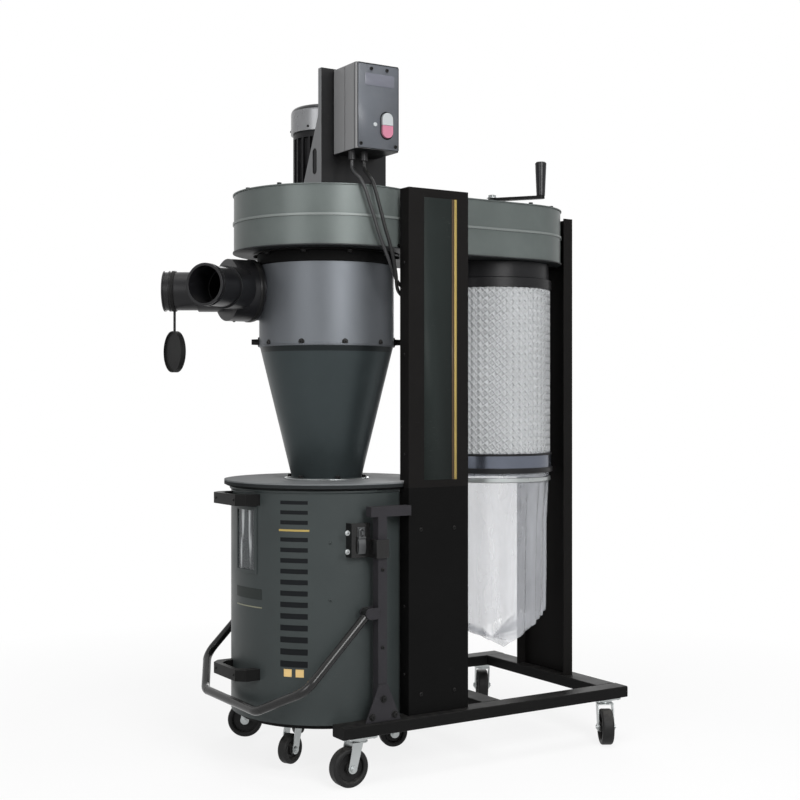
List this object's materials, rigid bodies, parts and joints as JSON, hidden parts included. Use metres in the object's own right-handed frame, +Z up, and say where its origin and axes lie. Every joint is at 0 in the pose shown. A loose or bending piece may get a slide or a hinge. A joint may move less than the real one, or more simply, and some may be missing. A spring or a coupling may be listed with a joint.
{
  "type": "mobile cyclone dust collector",
  "caption": "Cyclone dust collector on a castered frame: twin hose inlet, cyclone over a lift-up drum, top motor and fan housing, pleated filter with clear bag, lift lever and cleaning crank.",
  "frame": {"origin": "on the floor under the middle of the machine's box", "axes": "+Z up, +X from the inlet and drum end towards the filter end, +Y towards the far side, away from the switch box"},
  "size_m": [1.1744, 0.7102, 1.771],
  "materials": {
    "frame_black": "satin black powder coat",
    "column_black": "satin black powder coat",
    "cover_black": "fine textured black powder coat",
    "post_grey": "grey powder coat",
    "lid_grey": "satin grey paint",
    "seal_rubber": "soft black rubber",
    "cyclone_slate": "satin slate paint",
    "barrel_grey": "satin grey paint",
    "black_plastic": "moulded black plastic",
    "housing_grey": "grey-green metallic paint",
    "motor_grey": "grey paint on ribbed casting",
    "bracket_grey": "grey powder coat",
    "box_grey": "dark grey moulded plastic",
    "button_white": "white plastic",
    "button_red": "red plastic",
    "cable_grey": "grey cable sheath",
    "cable_black": "black cable sheath",
    "band_grey": "blue-grey paint",
    "filter_white": "pleated filter cloth",
    "cage_white": "white coated steel",
    "bag_film": "clear film",
    "lever_black": "gloss black paint",
    "window_glass": "clear pane",
    "zinc": "bright zinc plate",
    "wheel_rubber": "black rubber"
  },
  "bodies": {
    "frame": {"side_rails": "frame_black", "cross_rails": "frame_black", "base_caster_plates": "zinc", "columns": "column_black", "column_covers": "cover_black", "end_post": "column_black", "lift_posts": "post_grey", "drum_lid": "lid_grey", "lid_seal": "seal_rubber", "cone": "cyclone_slate", "barrel": "barrel_grey", "inlet_duct": "barrel_grey", "inlet_wye": "black_plastic", "near_port": "black_plastic", "far_port": "black_plastic", "port_cap": "black_plastic", "fan_housing": "housing_grey", "housing_top": "housing_grey", "housing_bottom": "housing_grey", "housing_brackets": "column_black", "motor_body": "motor_grey", "motor_fan_cover": "motor_grey", "motor_bracket": "bracket_grey", "switch_box": "box_grey", "start_button": "button_white", "stop_button": "button_red", "motor_cable": "cable_grey", "power_cable": "cable_black", "filter_neck": "black_plastic", "filter_head": "band_grey", "filter_pleats": "filter_white", "filter_cage": "cage_white", "filter_band": "band_grey", "dust_bag": "bag_film"},
    "lever": {"lift_lever": "lever_black"},
    "drum": {"drum_wall": "cyclone_slate", "drum_base": "lever_black", "window_frame": "black_plastic", "window_pane": "window_glass", "drum_handles": "black_plastic", "guide_jaws": "lever_black", "toggle_latches": "zinc", "drum_caster_plates": "zinc"},
    "crank_arm": {"crank": "lever_black"},
    "crank_knob": {"crank_grip": "black_plastic"},
    "near_front_caster": {"near_front_fork": "zinc"},
    "near_front_roller": {"near_front_wheel": "wheel_rubber"},
    "far_front_caster": {"far_front_fork": "zinc"},
    "far_front_roller": {"far_front_wheel": "wheel_rubber"},
    "near_rear_caster": {"near_rear_fork": "zinc"},
    "near_rear_roller": {"near_rear_wheel": "wheel_rubber"},
    "far_rear_caster": {"far_rear_fork": "zinc"},
    "far_rear_roller": {"far_rear_wheel": "wheel_rubber"},
    "drum_caster_a": {"drum_fork_a": "zinc"},
    "drum_roller_a": {"drum_wheel_a": "wheel_rubber"},
    "drum_caster_b": {"drum_fork_b": "zinc"},
    "drum_roller_b": {"drum_wheel_b": "wheel_rubber"},
    "drum_caster_c": {"drum_fork_c": "zinc"},
    "drum_roller_c": {"drum_wheel_c": "wheel_rubber"}
  },
  "joints": [
    {"name": "near_front_swivel", "type": "hinge", "parent": "frame", "child": "near_front_caster", "pos_m": [-0.25378, -0.2835, 0.108], "axis": [0, 0, 1], "continuous": true},
    {"name": "near_front_roll", "type": "hinge", "parent": "near_front_caster", "child": "near_front_roller", "pos_m": [-0.28178, -0.2835, 0.048], "axis": [0, -1, 0], "continuous": true},
    {"name": "far_front_swivel", "type": "hinge", "parent": "frame", "child": "far_front_caster", "pos_m": [-0.25378, 0.2835, 0.108], "axis": [0, 0, 1], "continuous": true},
    {"name": "far_front_roll", "type": "hinge", "parent": "far_front_caster", "child": "far_front_roller", "pos_m": [-0.27753, 0.29834, 0.048], "axis": [-0.5299, -0.848, 0], "continuous": true},
    {"name": "near_rear_swivel", "type": "hinge", "parent": "frame", "child": "near_rear_caster", "pos_m": [0.52522, -0.2835, 0.108], "axis": [0, 0, 1], "continuous": true},
    {"name": "near_rear_roll", "type": "hinge", "parent": "near_rear_caster", "child": "near_rear_roller", "pos_m": [0.51122, -0.30775, 0.048], "axis": [0.866, -0.5, 0], "continuous": true},
    {"name": "far_rear_swivel", "type": "hinge", "parent": "frame", "child": "far_rear_caster", "pos_m": [0.52522, 0.2835, 0.108], "axis": [0, 0, 1], "continuous": true},
    {"name": "far_rear_roll", "type": "hinge", "parent": "far_rear_caster", "child": "far_rear_roller", "pos_m": [0.53922, 0.30775, 0.048], "axis": [-0.866, 0.5, 0], "continuous": true},
    {"name": "drum_swivel_a", "type": "hinge", "parent": "drum", "child": "drum_caster_a", "pos_m": [-0.18478, 0.15, 0.113], "axis": [0, 0, 1], "continuous": true},
    {"name": "drum_roll_a", "type": "hinge", "parent": "drum_caster_a", "child": "drum_roller_a", "pos_m": [-0.17805, 0.17511, 0.0575], "axis": [-0.9659, 0.2588, 0], "continuous": true},
    {"name": "drum_swivel_b", "type": "hinge", "parent": "drum", "child": "drum_caster_b", "pos_m": [-0.31468, -0.075, 0.113], "axis": [0, 0, 1], "continuous": true},
    {"name": "drum_roll_b", "type": "hinge", "parent": "drum_caster_b", "child": "drum_roller_b", "pos_m": [-0.33825, -0.08599, 0.0575], "axis": [0.4226, -0.9063, 0], "continuous": true},
    {"name": "drum_swivel_c", "type": "hinge", "parent": "drum", "child": "drum_caster_c", "pos_m": [-0.05488, -0.075, 0.113], "axis": [0, 0, 1], "continuous": true},
    {"name": "drum_roll_c", "type": "hinge", "parent": "drum_caster_c", "child": "drum_roller_c", "pos_m": [-0.02976, -0.08173, 0.0575], "axis": [0.2588, 0.9659, 0], "continuous": true},
    {"name": "lift_lever", "type": "hinge", "parent": "frame", "child": "lever", "pos_m": [-0.22728, 0, 0.415], "axis": [0, 1, 0], "range_deg": [0, 70]},
    {"name": "drum_lift", "type": "slide", "parent": "frame", "child": "drum", "axis": [0, 0, 1], "range_m": [-0.018, 0]},
    {"name": "crank_turn", "type": "hinge", "parent": "frame", "child": "crank_arm", "pos_m": [0.35322, 0, 1.5025], "axis": [0, 0, 1], "continuous": true},
    {"name": "grip_spin", "type": "hinge", "parent": "crank_arm", "child": "crank_knob", "pos_m": [0.44027, -0.11345, 1.5225], "axis": [0, 0, 1], "continuous": true}
  ],
  "couplings": [
    {"joint": "drum_lift", "follows": "lift_lever", "m_per_rad": -0.014733}
  ]
}
